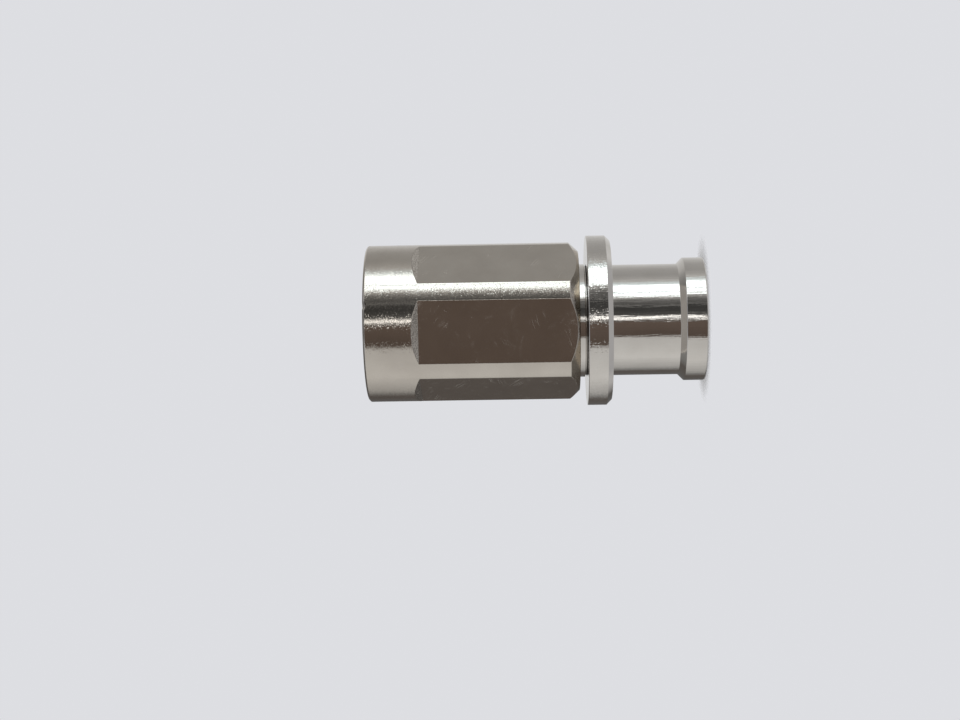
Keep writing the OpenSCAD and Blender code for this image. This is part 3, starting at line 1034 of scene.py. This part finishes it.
def nut_column(turn):
    """The nut's outline at one angle from the middle of a flat, as (radius, angle, height).

    A ring of points on each side of the mouth's broken edge keeps the dent of the nick, which is
    pressed in later, from creasing the wide faces beside it.
    """
    across = bar_r * math.sin(turn)
    bar_reach = bar_r * math.cos(turn)
    flat_reach = min(bar_reach, FLAT_HALF)
    ramp_rise = max(0.0, bar_reach - FLAT_HALF)
    flat_r = math.hypot(flat_reach, across)
    flat_turn = math.atan2(across, flat_reach)
    chamfer_z = nut_rear + REAR_CHAMFER_L * (flat_r - REAR_FACE_R) / (bar_r - REAR_FACE_R)
    outside = [
        (bar_r - MOUTH_BREAK - NICK_R, turn, nut_mouth),
        (bar_r - MOUTH_BREAK, turn, nut_mouth),
        (bar_r, turn, nut_mouth - MOUTH_BREAK),
        (bar_r, turn, nut_mouth - MOUTH_BREAK - NICK_R),
        (bar_r, turn, FLAT_TOP + ramp_rise),
        (flat_r, flat_turn, FLAT_TOP),
        (flat_r, flat_turn, chamfer_z),
        (REAR_FACE_R, flat_turn, nut_rear),
    ]
    return outside + [(r, turn, z) for r, z in nut_inside]

# %% Join columns into one sixth
FLATS = 6
FLAT_STEPS = 24
CORNER_STEPS = 6

sector_half = math.pi / FLATS
flat_half_turn = math.acos(FLAT_HALF / bar_r)
corner_step = (sector_half - flat_half_turn) / CORNER_STEPS
turns = [-sector_half + corner_step * i for i in range(CORNER_STEPS)]
turns += [flat_half_turn * (2 * i / FLAT_STEPS - 1) for i in range(FLAT_STEPS + 1)]
turns += [flat_half_turn + corner_step * (i + 1) for i in range(CORNER_STEPS)]
nut_sector = column_mesh("nut_sector", [nut_column(turn) for turn in turns], capped=False)
print("one sixth", len(nut_sector.polygons), "faces")

# %% Make six of them and press in the nick
NICK_DEPTH = 0.25
NUT_EDGE = 0.07

nut = run_tree("coupling_nut_shell", nut_sector, dividing_head, {
    "Count": FLATS, "First Turn": sector_half, "Finish": nickel})
inwards = Vector((-math.cos(NICK_TURN), -math.sin(NICK_TURN), -1)).normalized()
for vertex in nut.data.vertices:
    closeness = 1 - (vertex.co - nick_place).length / (NICK_R * MM)
    if closeness > 0:
        vertex.co += inwards * NICK_DEPTH * closeness * MM
ease_edges(nut, NUT_EDGE)
on_body(nut, "nut", "nickel_nut", "coupling_nut")

# %% [markdown]
# ## Thread
# The thread is cut into the nut with a single point, one turn after another, so it is a spiral
# with a 60 degree section and it runs out to nothing at both ends. A Screw modifier could sweep
# it, but can't fade it. The tree sweeps one ridge along a spiral and scales it at the ends. The
# ridge's root reaches a little into the wall of the bore, so no gap shows between the two.

# %% Cut the thread
THREAD_RUN_IN = 0.2
THREAD_RUN_OUT = 0.3
FADE_IN_TURNS = 0.25
FADE_OUT_TURNS = 0.6
CREST_HALF_SHARE = 1 / 8
ROOT_HALF_SHARE = 7 / 16
OVERLAP = 0.03
thread_start = RELIEF[1] + THREAD_RUN_IN
thread_end = mouth_bore_foot - THREAD_RUN_OUT
ridge_h = thread_root_r - THREAD_CREST_R
crest_half_w = thread_pitch * CREST_HALF_SHARE
root_half_w = thread_pitch * ROOT_HALF_SHARE

ridge_corners = [
    (OVERLAP, -root_half_w),
    (-ridge_h, -crest_half_w),
    (-ridge_h, crest_half_w),
    (OVERLAP, root_half_w),
]
ridge = bpy.data.meshes.new("ridge")
ridge.from_pydata([(x * MM, y * MM, 0) for x, y in ridge_corners], [(0, 1), (1, 2), (2, 3), (3, 0)], [])
thread = run_tree("coupling_nut_thread", ridge, threading_tool, {
    "Root Radius": thread_root_r * MM, "Pitch": thread_pitch * MM,
    "Start Height": thread_start * MM, "Length": (thread_end - thread_start) * MM,
    "Fade In": FADE_IN_TURNS, "Fade Out": FADE_OUT_TURNS, "Finish": nickel})
ease_edges(thread)
on_body(thread, "nut", "nickel_nut", "coupling_nut")

# %% [markdown]
# ## Retaining ring
# The split ring sits in its groove out of sight and lets the nut turn without coming off. It
# could be swept again from a wire section. Its solid has the right shape already, so it only
# gets a finish.

# %% Give the ring its bronze
ring = frame["nodes"]["retaining_ring"]
ring.data.materials.clear()
ring.data.materials.append(spring)
print(ring.name, "keeps its solid's", len(ring.data.polygons), "faces")

# %% [markdown]
# ## Surroundings that the metal reflects
# Polished metal looks like whatever stands round it. A photographer of small metal parts puts
# one bright strip to the side, a dark card behind the lens and a pale card opposite, and the
# bands that these make along the barrel are what the eye reads as metal. Real cards could stand
# round the connector as planes, but they would shade it and have to be hidden one by one. Here
# the world does it: for reflections only, its brightness follows the direction round the axis.

# %% Find the direction round the axis
scene = bpy.context.scene
scene.view_settings.view_transform = "Standard"
world = bpy.data.worlds.new("studio")
scene.world = world
world.use_nodes = True
sky = world.node_tree

direction = add(sky, "ShaderNodeTexCoord").outputs["Generated"]
from_lens = add(sky, "ShaderNodeVectorRotate", {"Vector": direction, "Angle": -CAMERA_TURN},
                rotation_type="Z_AXIS")
way = add(sky, "ShaderNodeSeparateXYZ", {"Vector": from_lens.outputs[0]}).outputs
bearing = math_node(sky, "ARCTAN2", way["Y"], way["X"])
print("bearings start at the lens, which stands at", round(math.degrees(CAMERA_TURN), 1), "degrees")

# %% [markdown]
# ## Cards and a bright strip
# Each stop of the colour ramp is a degree round the axis, a brightness and a warmth. Zero is at
# the lens, positive degrees lie above it in the picture and negative ones below it. The strip is
# the brightest and slightly blue, and the shade under the lens is brown, as a bench in shadow is.
# Lamps of many sizes could make soft edges too, but a ramp makes each as soft as it needs to be.
# The levels were tuned, band after band, until the barrel's bands looked as in the picture.

# %% Set up the cards
WARM = 0.30
COOL = -0.10
BACK = ((-180, 0.68, 0), (-170, 0.12, 0), (-136, 0.10, 0.12), (-128, 0.23, 0), (-118, 0.42, 0))
PALE_TABLE = ((-85, 0.66, 0), (-38.5, 0.56, 0))
WARM_SHADE = ((-34.5, 0.075, WARM), (-5, 0.10, WARM), (-2.5, 0.12, 0))
THIN_LAMP = ((-0.7, 0.5, 0), (1, 1.8, 0), (2.8, 1.8, 0), (4.5, 0.5, 0))
DARK_CARD = ((7, 0.09, 0), (18, 0.045, 0), (25.8, 0.055, 0))
GAP_IN_CARD = ((27.4, 0.30, 0), (29, 0.07, 0), (38, 0.16, 0))
STRIP = ((43.5, 0.36, 0), (46.5, 0.75, 0), (49, 1.6, COOL), (51.5, 2.5, COOL),
         (71.5, 2.5, COOL), (75, 1.2, COOL), (80, 0.75, COOL))
ROOM = ((85, 0.54, 0), (92, 0.43, 0), (103, 0.36, 0), (125, 0.40, 0), (165, 0.66, 0))
studio_stops = BACK + PALE_TABLE + WARM_SHADE + THIN_LAMP + DARK_CARD + GAP_IN_CARD + STRIP + ROOM

round_share = math_node(sky, "MULTIPLY_ADD", bearing, 1 / math.tau, 0.5)
cards = add(sky, "ShaderNodeValToRGB", {"Fac": round_share})
stops = cards.color_ramp.elements
for i, (degrees, level, warmth) in enumerate(studio_stops):
    position = degrees / 360 + 0.5
    stop = stops[i] if i < 2 else stops.new(position)
    stop.position = position
    stop.color = (level * (1 + warmth), level, level * (1 - warmth / 2), 1)
print("studio cards:", len(stops), "stops round the axis")

# %% Put a bar across the strip and dim its far ends
BAR_AT = 57.0
BAR_HALF = 1.0
BAR_LEVEL = 0.25
STRIP_END = (0.13, 0.22)
STRIP_PEAK = (3.0, 1.0)

off_bar = math_node(sky, "ABSOLUTE", math_node(sky, "SUBTRACT", bearing, math.radians(BAR_AT)))
bar = span(sky, off_bar, BAR_LEVEL, 1.0, math.radians(BAR_HALF), math.radians(2 * BAR_HALF))
barred = vector_node(sky, "MULTIPLY", cards.outputs["Color"], bar)
peak = span(sky, math_node(sky, "ABSOLUTE", way["Z"]), *STRIP_PEAK, *STRIP_END)
side_cards = vector_node(sky, "MINIMUM", barred, peak)
print("strip has a bar at", BAR_AT, "degrees,", 2 * BAR_HALF, "degrees wide")

# %% [markdown]
# ## Ends of the studio
# The end faces of the connector look straight up and down, so they don't see the cards. Above
# there is a pale ceiling over the lens side that turns dark right overhead and behind. Below
# there is a mid grey that gets paler away from the lens. Rays that don't come off a glossy
# surface see an even pale grey, which is the background too, so the floor can fade out into it.

# %% Close the studio above and below
PALE = (0.725, 0.732, 0.762)
UP_LIGHT = (0.47, 0.50, 0.57)
UP_DARK = (0.12, 0.12, 0.12)
UP_EDGE = (-0.16, -0.06)
UP_FROM = (0.55, 0.95)
OVERHEAD = (0.97, 0.985)
DOWN_NEAR = (0.445, 0.45, 0.47)
DOWN_FAR = (0.90, 0.91, 0.94)
DOWN_EDGE = (-0.40, -0.60)
DOWN_FROM = (-0.45, -0.85)

ceiling = mixed(sky, span(sky, way["X"], 0.0, 1.0, *UP_EDGE), UP_DARK, UP_LIGHT)
ceiling = mixed(sky, span(sky, way["Z"], 0.0, 1.0, *OVERHEAD), ceiling, UP_DARK)
ground = mixed(sky, span(sky, way["X"], 0.0, 1.0, *DOWN_EDGE), DOWN_NEAR, DOWN_FAR)
studio = mixed(sky, span(sky, way["Z"], 0.0, 1.0, *UP_FROM), side_cards, ceiling)
studio = mixed(sky, span(sky, way["Z"], 0.0, 1.0, *DOWN_FROM), studio, ground)
glossy = add(sky, "ShaderNodeLightPath").outputs["Is Glossy Ray"]
sky.links.new(mixed(sky, glossy, PALE, studio), sky.nodes["Background"].inputs["Color"])
print("world", world.name, len(sky.nodes), "nodes")

# %% [markdown]
# ## Floor and lamp
# The connector stands on a small pale disc that holds its contact shadow. A wide plane would
# show an edge or a horizon in the picture, so the disc fades out into the background instead.
# One soft lamp overhead makes the shadow. Neither shows in reflections, which belong to the
# cards alone.

# %% Lay the floor
FLOOR_R_MM = 30.0
FLOOR_FADE_MM = (8.0, 11.5)
FLOOR_STEPS = 96
FLOOR_COLOUR = (0.93, 0.93, 0.93)
FLOOR_ROUGH = 0.9
FLOOR_SHINE = 0.1

floor_mesh = bpy.data.meshes.new("floor")
work = bmesh.new()
bmesh.ops.create_circle(work, cap_ends=True, radius=FLOOR_R_MM * MM, segments=FLOOR_STEPS)
work.to_mesh(floor_mesh)
work.free()
floor = bpy.data.objects.new("floor", floor_mesh)
scene.collection.objects.link(floor)
floor.visible_glossy = False

table_top, table_tree, matt, table_place = new_finish("pale_table", metallic=0.0)
matt.inputs["Base Color"].default_value = (*FLOOR_COLOUR, 1)
matt.inputs["Roughness"].default_value = FLOOR_ROUGH
matt.inputs["Specular IOR Level"].default_value = FLOOR_SHINE
distance = vector_node(table_tree, "LENGTH", table_place, output="Value")
fade = add(table_tree, "ShaderNodeMapRange", {
    "Value": distance, "From Min": FLOOR_FADE_MM[0] * MM, "From Max": FLOOR_FADE_MM[1] * MM,
    "To Min": 1.0, "To Max": 0.0}, interpolation_type="SMOOTHSTEP")
table_tree.links.new(fade.outputs[0], matt.inputs["Alpha"])
floor_mesh.materials.append(table_top)
print("floor fades out between", *FLOOR_FADE_MM, "mm from the axis")

# %% Hang a soft lamp overhead
LAMP_SIZE_MM = 300
LAMP_WATTS = 0.06
LAMP_PLACE_MM = Vector((10, -10, 320))

lamp = bpy.data.objects.new("overhead_softbox", bpy.data.lights.new("overhead_softbox", "AREA"))
lamp.data.shape = "DISK"
lamp.data.size = LAMP_SIZE_MM * MM
lamp.data.energy = LAMP_WATTS
lamp.visible_glossy = False
lamp.location = LAMP_PLACE_MM * MM
lamp.rotation_mode = "QUATERNION"
lamp.rotation_quaternion = (lamp.location - aim).to_track_quat("Z", "Y")
scene.collection.objects.link(lamp)
print("lamp of", LAMP_SIZE_MM, "mm hangs", round(lamp.location.z / MM), "mm up")
